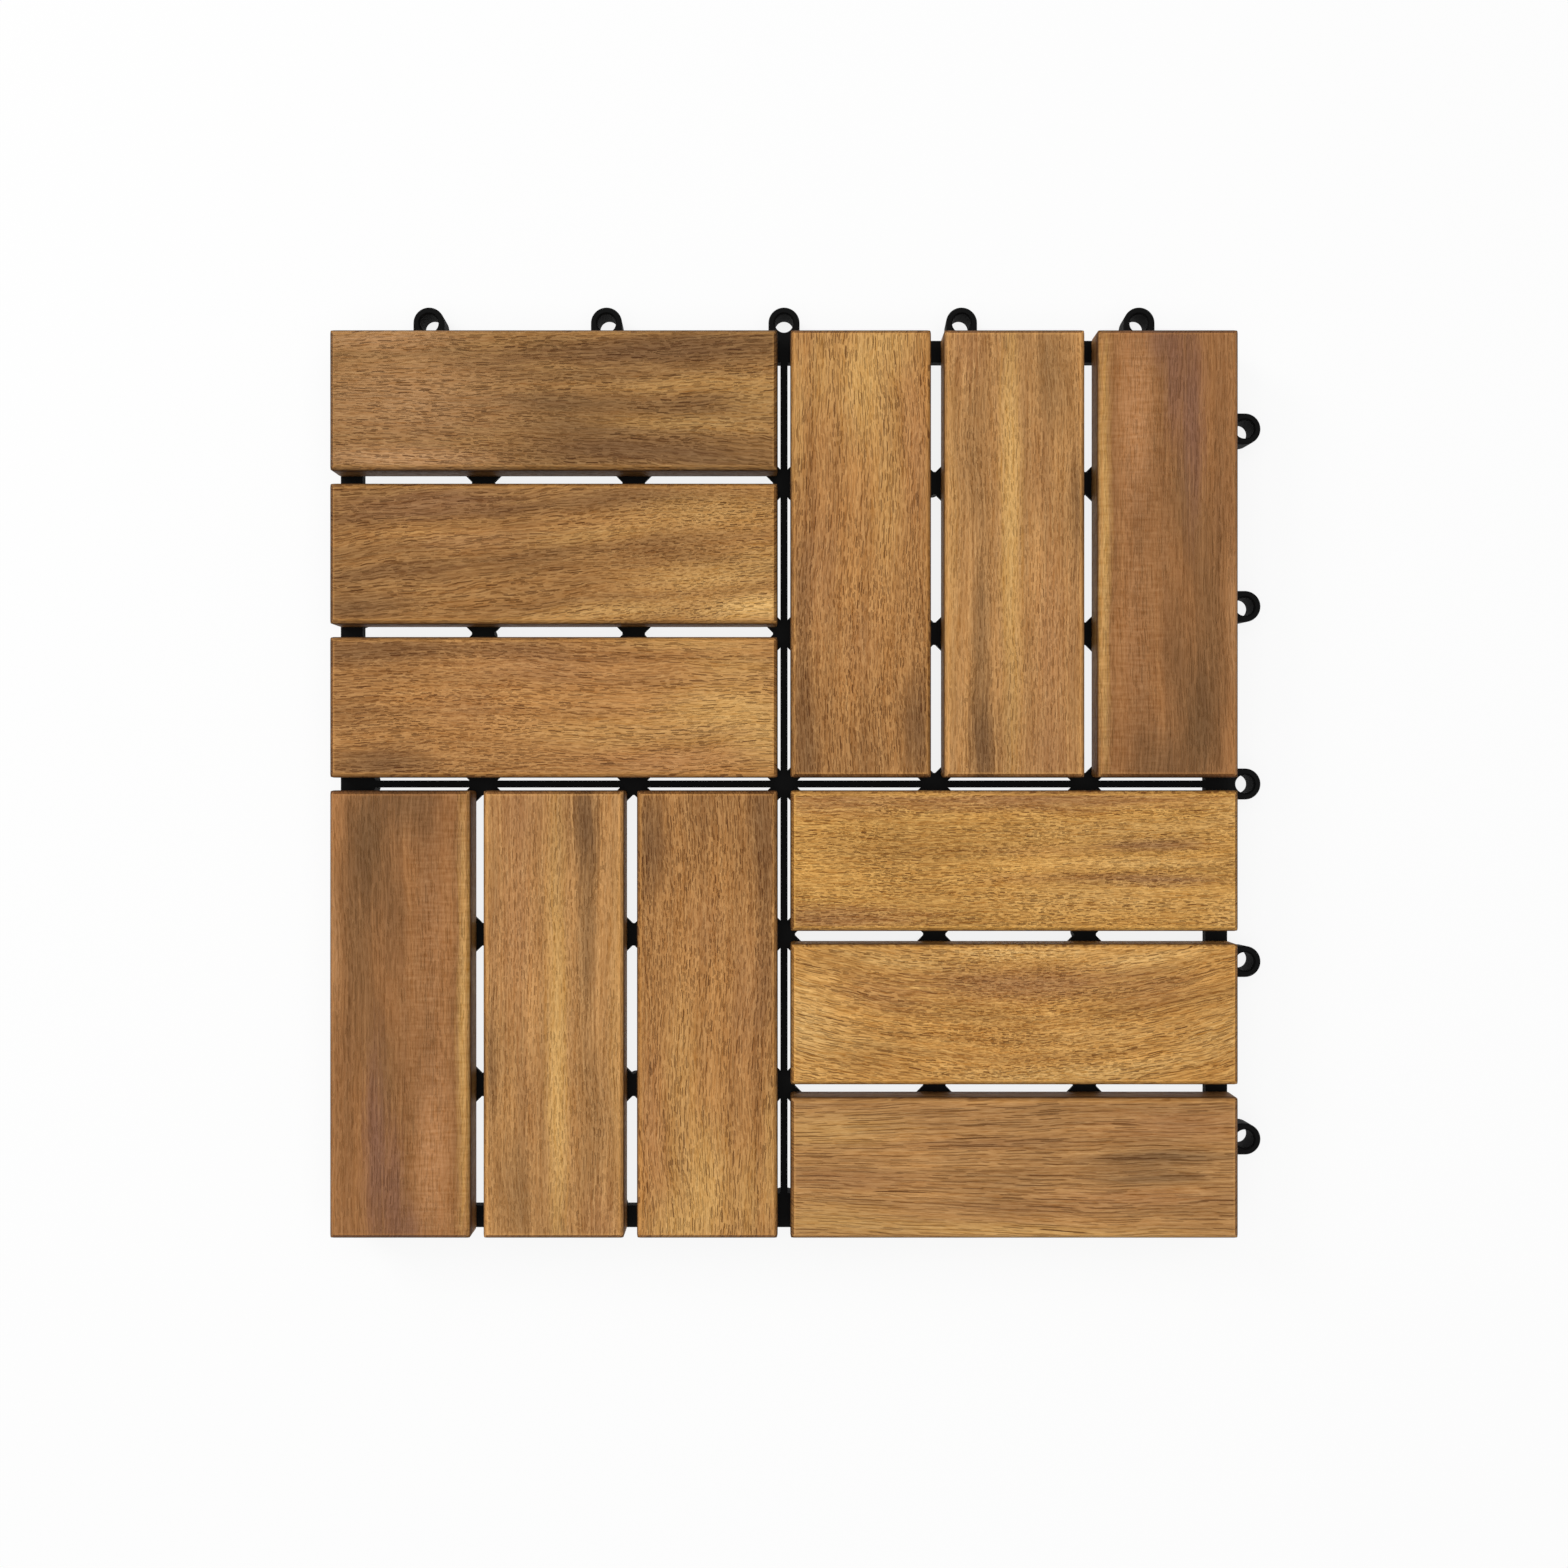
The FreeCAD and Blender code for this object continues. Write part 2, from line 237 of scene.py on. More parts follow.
def slat_skin(low, high, along_y, rng):
    """Points and faces of one slat between two corners of its box, and each point's place inside.

    Height at a point = top of the slat + upper edge at the point's inset - sander bites - planer
    waves, which fade out over the bevel. The wall goes straight down from the outline, and the
    lower rings draw in by the lower edge's inset. The last of the three results says how far each
    point lies inside the outline, in mm.
    """
    size = np.array(high) - np.array(low)
    centre = (np.array(high) + np.array(low)) / 2
    width, length = (size[0], size[1]) if along_y else (size[1], size[0])
    x, y, inset = plan_grid(width, length)
    fall = np.interp(inset, upper_edge[:, 0], upper_edge[:, 1])
    taken = planer_waves(x, y, rng) * np.clip(inset / top_bevel, 0, 1) + sander_bites(x, y, inset, rng)
    top = np.stack([x, y, size[2] / 2 + fall - taken], axis=-1).reshape(-1, 3)

    outline = outline_places(*x.shape)
    walls = [
        lowered(top[outline], width, length, ring_inset, ring_height - size[2] / 2)
        for ring_inset, ring_height in lower_edge[:-2]
    ]
    underside = lowered(top, width, length, lower_edge[-2, 0], -size[2] / 2)

    # Numbers of the points round each ring, from the outline down to the edge of the underside
    count = len(outline)
    wall_numbers = len(top) + np.arange(len(walls) * count).reshape(len(walls), count)
    underside_start = len(top) + len(walls) * count
    rings = np.vstack([outline[None], wall_numbers, underside_start + outline[None]])
    points = np.vstack([top] + walls + [underside])
    inside = np.zeros(len(points))
    inside[:len(top)] = inset.ravel() / mm
    below = grid_faces(*x.shape)[:, ::-1] + underside_start
    faces = np.vstack([grid_faces(*x.shape), ring_faces(rings), below])
    if not along_y:
        points = np.column_stack([-points[:, 1], points[:, 0], points[:, 2]])
    return points + centre, faces, inside


# %% [markdown]
# The twelve slats
#
# Each slat takes the place of its plain solid in the picture. The frame says where each solid
# lies, so nothing is measured twice, and the seed of each slat comes from its place in the list,
# so every run gives the same waves and bites.

# %% From points and faces to a piece
def mesh_piece(name, points, faces, inside):
    """Object at the origin that holds a closed skin, shaded smooth, with each point's place inside."""
    mesh = bpy.data.meshes.new(name)
    mesh.from_pydata(points.tolist(), [], faces.tolist())
    mesh.polygons.foreach_set("use_smooth", np.ones(len(faces), bool))
    mesh.attributes.new("inside", "FLOAT", "POINT").data.foreach_set("value", inside)
    mesh.update()
    piece = bpy.data.objects.new(name, mesh)
    bpy.context.scene.collection.objects.link(piece)
    return piece


# %% Put the slats in their places
def lies_along_y(name):
    """Whether a slat's longer side lies along Y."""
    low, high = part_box(name)
    return high.y - low.y > high.x - low.x


first_seed = 100
slat_nodes = sorted(name for name in nodes if name.startswith("slat_") and name != "slat_screws")
slats = {}
for number, name in enumerate(slat_nodes):
    skin = slat_skin(*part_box(name), lies_along_y(name), np.random.default_rng(first_seed + number))
    slat = mesh_piece(name.replace("slat", "board"), *skin)
    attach(slat, "root")
    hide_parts(name)
    slats[name] = slat
print("slats:", len(slats), "with", sum(len(s.data.polygons) for s in slats.values()), "faces")

# %% [markdown]
# Mixing a finish
#
# A finish is a small machine of nodes that answers, for each point, what colour it has and how
# rough it is. The helpers below keep the recipes short: each one adds a node and gives back what
# comes out of it, so that a recipe reads like a sum.


# %% A bench for mixing finishes
class Finish:
    """A material being mixed, with one method for each kind of step."""

    def __init__(self, name):
        self.material = bpy.data.materials.new(name)
        self.material.use_nodes = True
        self.tree = self.material.node_tree
        self.tree.nodes.clear()

    def add(self, kind, sockets, output=0, **options):
        """Add one node, set its options, and fill its sockets, which go by name or by number."""
        node = self.tree.nodes.new("ShaderNode" + kind)
        for option, value in options.items():
            setattr(node, option, value)
        for socket, value in sockets.items():
            if isinstance(value, bpy.types.NodeSocket):
                self.tree.links.new(value, node.inputs[socket])
            else:
                node.inputs[socket].default_value = value
        return None if output is None else node.outputs[output]

    def sum(self, a, b):
        """a plus b."""
        return self.add("Math", {0: a, 1: b}, operation="ADD")

    def product(self, a, b):
        """a times b."""
        return self.add("Math", {0: a, 1: b}, operation="MULTIPLY")

    def product_plus(self, a, b, c):
        """a times b, plus c."""
        return self.add("Math", {0: a, 1: b, 2: c}, operation="MULTIPLY_ADD")

    def level(self, value, low, high, to_low=0.0, to_high=1.0):
        """Smooth step from to_low, where the value is low, to to_high, where it is high."""
        sockets = {0: value, 1: low, 2: high, 3: to_low, 4: to_high}
        return self.add("MapRange", sockets, interpolation_type="SMOOTHSTEP")

    def place(self, x, y, z):
        """Three numbers as one vector."""
        return self.add("CombineXYZ", {0: x, 1: y, 2: z})

    def parts(self, vector):
        """The three numbers of a vector."""
        return tuple(self.add("SeparateXYZ", {0: vector}).node.outputs)

    def stretched(self, vector, sizes, shift=(0, 0, 0)):
        """Coordinates divided by a size for each axis, then shifted."""
        scales = tuple(1 / size for size in sizes)
        return self.add("VectorMath", {0: vector, 1: scales, 2: shift}, operation="MULTIPLY_ADD")

    def noise(self, vector, detail=2.0, roughness=0.5):
        """Soft random field from 0 to 1, with features about one unit across."""
        sockets = {"Vector": vector, "Scale": 1.0, "Detail": detail, "Roughness": roughness}
        return self.add("TexNoise", sockets)

    def ramp(self, value, stops, interpolation="EASE"):
        """Colour looked up between stops of (place, colour). A new ramp has two stops already."""
        node = self.tree.nodes.new("ShaderNodeValToRGB")
        node.color_ramp.interpolation = interpolation
        for index, (place, colour) in enumerate(stops):
            known = index < 2
            stop = node.color_ramp.elements[index] if known else node.color_ramp.elements.new(place)
            stop.position = place
            stop.color = colour
        self.tree.links.new(value, node.inputs[0])
        return node.outputs[0]

    def blend(self, share, a, b, blend_type="MIX"):
        """Colour a with a share of b mixed in, or with a share of a times b.

        The node's two colours are its sockets 6 and 7, and what comes out as a colour is number 2.
        """
        return self.add("Mix", {0: share, 6: a, 7: b}, output=2, data_type="RGBA", blend_type=blend_type)

    def done(self, surface):
        """Lead the surface to the output and hand over the material."""
        self.add("OutputMaterial", {"Surface": surface}, output=None)
        return self.material


# %% Colours by their everyday values
def paint(red, green, blue):
    """Colour named by its everyday values from 0 to 255, as the light it stands for.

    A value c, as a share of 255, stands for ((c + 0.055) / 1.055) to the power 2.4, and near
    black for c / 12.92.
    """
    parts = np.array([red, green, blue]) / 255
    linear = np.where(parts > 0.04045, ((parts + 0.055) / 1.055) ** 2.4, parts / 12.92)
    return (*linear.tolist(), 1.0)


def shaded(colour, red, green, blue):
    """Everyday colour with each part multiplied."""
    return paint(*(min(255, part * factor) for part, factor in zip(colour, (red, green, blue))))


print("everyday grey 128 stands for", round(paint(128, 128, 128)[0], 3), "of full light")

# %% [markdown]
# Oiled acacia
#
# Acacia has bands of growth that run from pinkish brown to gold, long fibres, and pores that the
# plane opens into thin dark dashes. All of these follow the tree, not the board, so they are
# worked out in three dimensions, in millimetres along, across and up through the slat. The walls
# and the sawn ends then show the same wood as the face, as they do on a real board. A flat
# picture wrapped round the slat would smear over its ends.
#
# The slats come from eight boards, and each board has a character of its own: an arch, a golden
# stripe, a dark heart. Four slats are cut from the same boards as others, and lie mirrored or
# turned round. The notes below are what a joiner would write down about each board: its colour,
# how its grain runs, and where its marks lie, in mm from the middle of the slat. Along counts
# towards the right or the back of the tile, to what the notes call the far end.

# %% What most boards have in common
# Each board also has a colour, and a seed from which its random parts are shifted.
plain_board = dict(
    lean=0.0,          # rise of the grain towards the far end, in degrees
    arch=0.0,          # rise of the grain in the middle over its ends, in mm
    fan=0.0,           # how much the grain spreads towards the far end
    sweep=2.4,         # side to side swing of the grain, in mm
    growth=0.4,        # strength of the growth bands
    growth_width=6.0,  # width of a band, in mm
    streaks=0.55,      # strength of the fibre streaks
    hairs=0.6,         # strength of the finest fibres
    lumps=0.3,         # strength of the small uneven patches
    ripple=0.0,        # strength of the cross ripple in the left half
    pore_length=5.0,   # in mm
    pore_width=0.42,   # in mm
    pore_gap=1.2,      # from one row of pores to the next, in mm
    pores=1.0,         # darkness of the pores
    cracks=0.5,        # darkness of the few long pores
    dive=(0.0, 0.0),   # where the fibres dip into the board, in mm along, and how much
    shiver=0.9,        # quick side to side shake of the fibres, in mm
    figure=12.0,       # how far the fibres run ahead and lag, in mm
    marks=(),          # (along, across, reach along, reach across, tone, strength)
    half_turn=False,
    mirrored=False,
)
# Everyday values of red, green and blue
tones = {
    "bright": (222, 174, 104),
    "gold": (208, 160, 92),
    "tan": (190, 142, 95),
    "orange": (184, 130, 82),
    "rose": (160, 112, 68),
    "plum": (128, 88, 66),
    "olive": (125, 92, 56),
    "brown": (116, 81, 46),
}
print("tones of the marks:", ", ".join(tones))

# %% Two boards of the back left panel
boards = {}
# Brown, with a dark border along both sides, and paler towards both ends
boards["slat_nw_3"] = dict(
    colour=(146, 105, 58), fan=0.15, sweep=1.6, pore_length=4.5, seed=11,
    marks=(
        (-50, 0, 50, 26, "tan", 0.5), (30, 16.5, 62, 6.5, "brown", 0.95), (28, -17, 56, 6, "brown", 0.95),
        (15, 9, 40, 4, "olive", 0.35), (15, -9.5, 40, 4, "olive", 0.35), (48, 5, 40, 4, "gold", 0.35),
        (48, -7.5, 42, 4, "gold", 0.4), (25, -0.5, 40, 3, "olive", 0.2), (-2, 0, 18, 5, "olive", 0.35),
        (-50, -20, 44, 6, "tan", 0.8), (-56, 20, 36, 6, "tan", 0.6), (-20, 13, 24, 6, "brown", 0.5),
        (70, 0, 20, 7, "gold", 0.4),
    ),
)
# Brown streaks that climb towards the far end, which is gold
boards["slat_nw_2"] = dict(
    colour=(162, 115, 62), lean=3.5, sweep=2.6, pore_length=5.5, dive=(45.0, 1.4), seed=23,
    marks=(
        (-48, 15, 62, 10, "brown", 0.5), (-40, 16, 40, 7, "plum", 0.3), (18, 17, 46, 7, "brown", 0.6),
        (-58, -6, 36, 5, "brown", 0.6), (-12, -3, 36, 4.5, "brown", 0.35), (35, 1, 30, 4, "brown", 0.2),
        (-25, 4, 34, 5, "rose", 0.4), (12, 5.5, 32, 4, "gold", 0.35), (52, 13, 40, 9, "gold", 0.45),
        (54, -8, 38, 7, "gold", 0.6), (68, -19, 28, 7, "bright", 1.0), (-64, -17, 28, 8, "brown", 0.6),
        (22, -19, 52, 5, "gold", 0.5), (72, -1, 20, 6, "gold", 0.5),
    ),
)
print("boards noted:", len(boards))

# %% Three boards of the back right panel
# Brown in the near corners, and gold towards the far end
boards["slat_ne_1"] = dict(
    colour=(173, 122, 67), sweep=2.0, pore_length=5.5, growth=0.3, dive=(-32.0, 0.8), seed=73,
    marks=(
        (58, 1, 34, 14, "gold", 0.9), (20, 8, 40, 8, "gold", 0.4), (-62, -18, 46, 8, "brown", 0.75),
        (-16, -19, 36, 6, "brown", 0.5), (-58, 18, 28, 7, "brown", 0.8), (-66, 2, 22, 14, "brown", 0.4),
        (-29, 0, 18, 9, "rose", 0.35), (-3, -13, 40, 9, "rose", 0.5), (46, -22, 36, 4, "gold", 0.5),
        (34, 18, 34, 6, "orange", 0.4), (74, 12, 22, 14, "gold", 0.8), (62, -14, 24, 7, "gold", 0.5),
    ),
)
# A golden stripe from end to end, with a brown streak left of it
boards["slat_ne_2"] = dict(
    colour=(182, 132, 77), sweep=1.6, shiver=0.5, growth=0.35, growth_width=4.5, pore_length=3.4,
    pores=0.5, hairs=0.3, cracks=0.3, seed=87,
    marks=(
        (10, -1.2, 110, 4.6, "gold", 0.85), (28, -1, 44, 4.4, "bright", 0.5), (-64, -10, 28, 7, "brown", 1.0),
        (-28, -11, 44, 5, "olive", 0.5), (32, -15, 50, 6, "olive", 0.4), (60, 11, 28, 8, "olive", 0.45),
        (28, 8, 26, 6, "rose", 0.35), (18, 21, 34, 5, "brown", 0.65), (-30, 12, 52, 9, "orange", 0.5),
        # The first mark below, weak gold 21 mm across on the bevel of the long side, is a painted highlight
        (0, -21, 80, 4, "gold", 0.3), (-68, 12, 22, 12, "rose", 0.7), (70, -15, 20, 8, "rose", 0.7),
        (-22, 20, 34, 5, "rose", 0.4),
    ),
)
# A dark heart right of the middle, plum at the far end and brown at the near one
boards["slat_ne_3"] = dict(
    colour=(149, 101, 57), sweep=1.6, shiver=0.5, growth=0.35, pore_length=7.0, pores=0.22, streaks=0.4,
    hairs=0.15, ripple=0.4, seed=97,
    marks=(
        (-58, 9, 36, 9, "brown", 1.0), (-25, 14, 52, 8, "brown", 0.7), (10, 9, 30, 6, "brown", 0.5),
        (45, 8, 48, 6, "plum", 0.85), (60, 2, 32, 5, "plum", 0.75), (72, -4, 16, 7, "plum", 0.6),
        # The last mark below, gold 22 mm across on the bevel of the long side, is a painted highlight
        (45, -11, 44, 8, "orange", 0.9), (-24, -11, 40, 6, "orange", 0.35), (0, -22, 110, 3.6, "gold", 0.85),
        (-70, -4, 18, 14, "brown", 0.7), (64, 20, 34, 5, "rose", 0.3), (-25, 21.5, 40, 3, "tan", 0.35),
        (-40, 2, 34, 7, "brown", 0.4), (20, 4, 24, 5, "brown", 0.55), (-5, -5, 22, 6, "rose", 0.4),
    ),
)
print("boards noted:", len(boards))

# %% Three boards of the front right panel
# Gold, with two plum streaks towards the far end and rose along the sides
boards["slat_se_1"] = dict(
    colour=(198, 146, 74), sweep=1.2, growth=0.15, growth_width=9.0, pore_length=2.6, pore_gap=0.95,
    hairs=0.9, seed=41,
    marks=(
        (36, 10, 58, 6, "gold", 0.6), (32, -13, 58, 7, "gold", 0.6), (38, -1.3, 54, 3.2, "bright", 0.5),
        (46, 4.8, 28, 3, "plum", 0.55), (46, -6.8, 30, 3, "plum", 0.6), (12, 3.5, 34, 3, "rose", 0.3),
        (10, -6, 36, 3, "rose", 0.35), (-60, -20, 44, 7, "rose", 0.7), (-62, 19, 34, 8, "rose", 0.6),
        (6, 20.5, 90, 6, "rose", 0.8), (-45, 0, 30, 12, "olive", 0.12), (77, 15, 18, 9, "bright", 0.6),
        (77, -19, 18, 9, "bright", 0.6),
    ),
)
# Grain that sags between its ends, with a rose heart and bright borders
boards["slat_se_2"] = dict(
    colour=(193, 140, 72), arch=-10.0, sweep=1.6, growth=0.3, growth_width=3.0, pore_length=6.0,
    pore_gap=1.05, hairs=0.9, dive=(0.0, 1.6), seed=53,
    marks=(
        (-74, 0, 28, 26, "bright", 0.75), (-38, 18.5, 34, 4.5, "gold", 0.8), (2, 20.5, 44, 4, "bright", 0.8),
        (44, 18.5, 34, 5, "bright", 0.7), (5, 10, 50, 8, "rose", 0.8), (-44, 8, 22, 8, "rose", 0.5),
        (47, 8, 24, 8, "rose", 0.45), (28, -8, 30, 8, "gold", 0.4), (22, -20, 60, 5.5, "gold", 1.0),
        (-58, -8, 30, 5, "gold", 0.35), (72, -5, 26, 10, "gold", 0.9),
    ),
)
# Straight grain that fans out, with long pores and thin olive lines towards the far end
boards["slat_se_3"] = dict(
    colour=(171, 124, 72), fan=0.14, sweep=1.2, shiver=0.35, figure=3.0, growth=0.3, growth_width=3.5,
    streaks=0.5, lumps=0.2, pore_length=18.0, pore_gap=1.5, seed=61,
    marks=(
        (46, 1.5, 36, 6, "olive", 0.5), (52, 3.6, 34, 2.4, "olive", 0.8), (46, -3.4, 30, 2, "olive", 0.7),
        (-62, 13, 36, 9, "gold", 0.55), (-62, -17, 36, 9, "gold", 0.5), (-52, -4, 40, 5, "rose", 0.45),
        (38, -9, 46, 4, "orange", 0.4), (-10, 8, 40, 3, "rose", 0.4), (5, -12, 46, 2.4, "rose", 0.3),
        (50, -14, 30, 3, "olive", 0.2), (54, 14.5, 38, 7, "rose", 0.75), (4, -20.5, 90, 4.5, "gold", 0.7),
    ),
)
print("boards noted:", len(boards), "with", sum(len(notes["marks"]) for notes in boards.values()), "marks")

# %% Four slats from the same boards
boards["slat_nw_1"] = dict(boards["slat_ne_1"], mirrored=True)
# The half-turned copies of ne_2 and ne_3 carry their painted bevel highlights too
for number in "123":
    boards["slat_sw_" + number] = dict(boards["slat_ne_" + number], half_turn=True)
print("slats noted:", len(boards))


# %% Coordinates that follow the board
def board_coordinates(finish, name, board):
    """Millimetres along, across and up through a slat, from its middle.

    A slat that runs along Y counts along Y and across X. A board with a half turn counts both ways
    backwards, and a mirrored one counts backwards across.
    """
    low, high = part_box(name)
    along_y = lies_along_y(name)
    quarter = math.pi / 2 if along_y else 0.0
    turn = quarter - math.pi if board["half_turn"] else quarter
    flip = -mm if along_y != board["mirrored"] else mm
    spot = finish.add("TexCoord", {}, output="Object")
    sockets = {
        "Vector": spot, "Location": (low + high) / 2, "Rotation": (0, 0, turn), "Scale": (mm, flip, mm),
    }
    return finish.add("Mapping", sockets, vector_type="TEXTURE")


print("slats that count along Y:", ", ".join(name for name in slats if lies_along_y(name)))

# %% [markdown]
# Grain
#
# A board is never cut quite along the tree, so its grain leans, spreads out or arches, and on top
# of that it swings and shivers. Every pattern below is stretched along the grain, so bending the
# coordinates once bends them all. The bend is a sum: a part that the board's notes describe, and
# soft random parts of a few sizes.

# %% Coordinates that follow the grain
half_slat = 74.0                # mm from the middle of a slat to its end
dip_length = 24.0               # mm along, over which the fibres dip into the board
swing_size = (95, 38, 30)       # mm along, across and up, for one soft swing of the grain
flutter_size = (24, 13, 13)
shiver_size = (5.5, 3.0, 3.0)
figure_size = (26, 9, 12)


def home_line(along, across, board):
    """Grain line that a place lies on: across, less the fan and the lean, plus the arch over the ends.

    Across (1 - fan h) - tangent of the lean times along + arch times h squared, where h is how far
    along the place lies as a part of half the slat.
    """
    half = along / half_slat
    lean = math.tan(math.radians(board["lean"]))
    return across * (1 - board["fan"] * half) - lean * along + board["arch"] * half ** 2


def grain_coordinates(finish, spot, board):
    """The same millimetres, bent with the grain: once for the fibres, and once for marks and bands.

    Across = home_line(along, across) + a slow swing + a flutter + a quick shiver, each less its
    middle value. For the fibres alone, along is stretched where they dip, by a hyperbolic tangent
    about the place of the dip, and runs ahead and lags with the figure of the wood.
    """
    along, across, up = finish.parts(spot)
    shift = (board["seed"], 0.37 * board["seed"], 0.71 * board["seed"])
    swing, flutter, shiver, figure = (
        finish.noise(finish.stretched(spot, size, shift), detail=1.0)
        for size in (swing_size, flutter_size, shiver_size, figure_size)
    )
    half = finish.product(along, 1 / half_slat)
    square = finish.product(half, half)
    bent = finish.product(across, finish.product_plus(half, -board["fan"], 1.0))
    bent = finish.product_plus(along, -math.tan(math.radians(board["lean"])), bent)
    bent = finish.product_plus(square, board["arch"], bent)
    bent = finish.product_plus(swing, 4 * board["sweep"], bent)
    bent = finish.product_plus(flutter, 1.1 * board["sweep"], bent)
    bent = finish.product_plus(shiver, board["shiver"], bent)
    bent = finish.sum(bent, -2.55 * board["sweep"] - 0.5 * board["shiver"])
    place, amount = board["dive"]
    near = finish.product_plus(along, 1 / dip_length, -place / dip_length)
    near = finish.add("Math", {0: near}, operation="TANH")
    run = finish.product_plus(near, dip_length * amount, along)
    run = finish.product_plus(figure, board["figure"], run)
    return finish.place(run, bent, up), finish.place(along, bent, up)


for name in ("slat_nw_2", "slat_se_2"):
    rise = -home_line(half_slat, 0, dict(plain_board, **boards[name]))
    print("grain of", name, "rises by", round(rise, 1), "mm from the middle to the far end")

# %% [markdown]
# The ground and the marks on it
#
# The ground goes softly between darker and lighter growth. Over it, each mark is a long spot of
# one tone. Its distance is measured in grain coordinates, so a stripe bends with the grain, and
# the fibres fray its edge, because colour in wood spreads along them.

# %% Ground and marks
band_length = 190               # mm along, over which a growth band keeps its tone
cloud_size = (34, 15, 15)       # mm along, across and up, for one soft cloud
mark_depth = 40                 # mm up and down, over which a mark fades
mark_fray = 1.1                 # how far the fibres shift a mark's edge, in parts of its reach


def growth_ground(finish, spot, plain_grain, shift, board):
    """Base colour made darker or lighter by growth bands and soft clouds, from tone 0 to tone 1.

    Tone = 0.5 + 1.9 times the board's growth times (bands - 0.5) + 0.5 (clouds - 0.5).
    """
    base, width = board["colour"], board["growth_width"]
    band_size = (band_length, width, 2.2 * width)
    growth = finish.noise(finish.stretched(plain_grain, band_size, shift), detail=2.5)
    clouds = finish.noise(finish.stretched(spot, cloud_size, shift), detail=2.0)
    tone = finish.product_plus(growth, 1.9 * board["growth"], 0.5 - 0.95 * board["growth"])
    tone = finish.product_plus(clouds, 0.5, finish.sum(tone, -0.25))
    dark, light = shaded(base, 0.66, 0.64, 0.62), shaded(base, 1.28, 1.30, 1.32)
    stops = ((0.0, dark), (1.0, light), (0.5, paint(*base)))
    return finish.ramp(tone, stops, interpolation="LINEAR")


def add_marks(finish, colour, plain_grain, fibres, board):
    """Blend in each mark: full at its middle, gone at its reach, broken up by the fibres.

    Distance from a mark's middle, in parts of its reach, + mark_fray times (fibres - 0.5) goes by
    a smooth step from full strength at 0.1 to none at 1.1.
    """
    for along, across, reach_along, reach_across, tone, strength in board["marks"]:
        sizes = (reach_along, reach_across, mark_depth)
        shift = (-along / reach_along, -home_line(along, across, board) / reach_across, 0)
        offset = finish.stretched(plain_grain, sizes, shift)
        far = finish.add("VectorMath", {0: offset}, output="Value", operation="LENGTH")
        ragged = finish.product_plus(fibres, mark_fray, finish.sum(far, -0.5 * mark_fray))
        share = finish.level(ragged, 0.1, 1.1, strength, 0.0)
        colour = finish.blend(share, colour, paint(*tones[tone]))
    return colour


print("a growth band keeps its tone over", band_length, "mm, and a mark is", mark_depth, "mm deep")

# %% [markdown]
# Fibres and pores
#
# Fibres are noise that is stretched far along the grain and squeezed across it. They multiply the
# colour, more in blue than in red, because a light fibre looks paler and not more orange.
#
# A pore is a fine tube that the plane has cut open. Noise makes as many light specks as dark
# ones, which looks like felt. So the pores are dashes about scattered points instead: sharp, thin
# and always darker than the calm wood round them. On most boards a dash is about three to seven
# millimetres long, and on one it is eighteen. Three layers differ in length and spacing: the main
# one, a finer one, and one with a few long dashes. A dash is a thin ribbon that stands in the
# wood and leans over, so that it shows as a thin line on the face and on the walls alike.

# %% Fibres
fibre_size = (26, 0.75, 0.75)   # mm along, across and up
hair_size = (4.5, 0.26, 0.26)
lump_size = (3.0, 0.75, 0.75)
ripple_size = (0.9, 7, 7)
ripple_full, ripple_gone = -6, 8  # mm across, between which the cross ripple fades out
deepest_detail = -0.3           # keeps the darkest fibre well above black
detail_tint = (1.3, 1.95, 3.2)  # a light fibre gains most in blue, as its colour nears white


def fibre_detail(finish, spot, fields, shift, board):
    """Sum of each field, less a half, times its strength, with a cross ripple in the left half."""
    detail = 0.0
    for field, strength in fields:
        detail = finish.product_plus(field, strength, finish.sum(detail, -0.5 * strength))
    if board["ripple"]:
        curl = finish.noise(finish.stretched(spot, ripple_size, shift), detail=2.0)
        left_half = finish.level(finish.parts(spot)[1], ripple_full, ripple_gone, board["ripple"], 0.0)
        detail = finish.product_plus(finish.sum(curl, -0.5), left_half, detail)
    return finish.add("Math", {0: detail, 1: deepest_detail}, operation="MAXIMUM")


print("a fibre is about", round(fibre_size[0] / fibre_size[1]), "times as long as wide")

# %% Pores
pore_slant = 0.8                # mm across that a dash leans, for each mm up
pore_cell = 1.5                 # length of a cell of scattered points, over the length of a dash
pore_slim = 3.0                 # a dash reaches a third of its cell ahead and back
pore_stand = 0.9                # and a little more than its whole cell up and down
pore_layers = ((1.0, 1.0), (0.45, 0.7), (3.5, 4.0))  # length and spacing over the board's own
crowd_size = (45, 5, 5)         # mm along, across and up, of a place where pores crowd


def dashes(finish, vector, slim):
    """Dashes about scattered points, and each one's chance between 0 and 1.

    A dash reaches 1 / slim of a cell to either side of its point on each axis. It is full up to
    0.7 of that along the first axis, and to 0.3 of it across the other two. The chance is the red
    of the cell's random colour.
    """
    sockets = {"Vector": vector, "Scale": 1.0, "Randomness": 1.0}
    point = finish.add("TexVoronoi", sockets, "Position", feature="F1")
    offset = finish.add("VectorMath", {0: vector, 1: point}, operation="SUBTRACT")
    offset = finish.add("VectorMath", {0: offset, 1: slim}, operation="MULTIPLY")
    ahead = finish.add("Math", {0: finish.parts(offset)[0]}, operation="ABSOLUTE")
    aside = finish.add("VectorMath", {0: offset, 1: (0, 1, 1)}, operation="MULTIPLY")
    aside = finish.add("VectorMath", {0: aside}, output="Value", operation="LENGTH")
    dash = finish.product(finish.level(ahead, 0.7, 1.0, 1.0, 0.0), finish.level(aside, 0.3, 1.0, 1.0, 0.0))
    return dash, finish.add("SeparateColor", {0: point.node.outputs["Color"]})


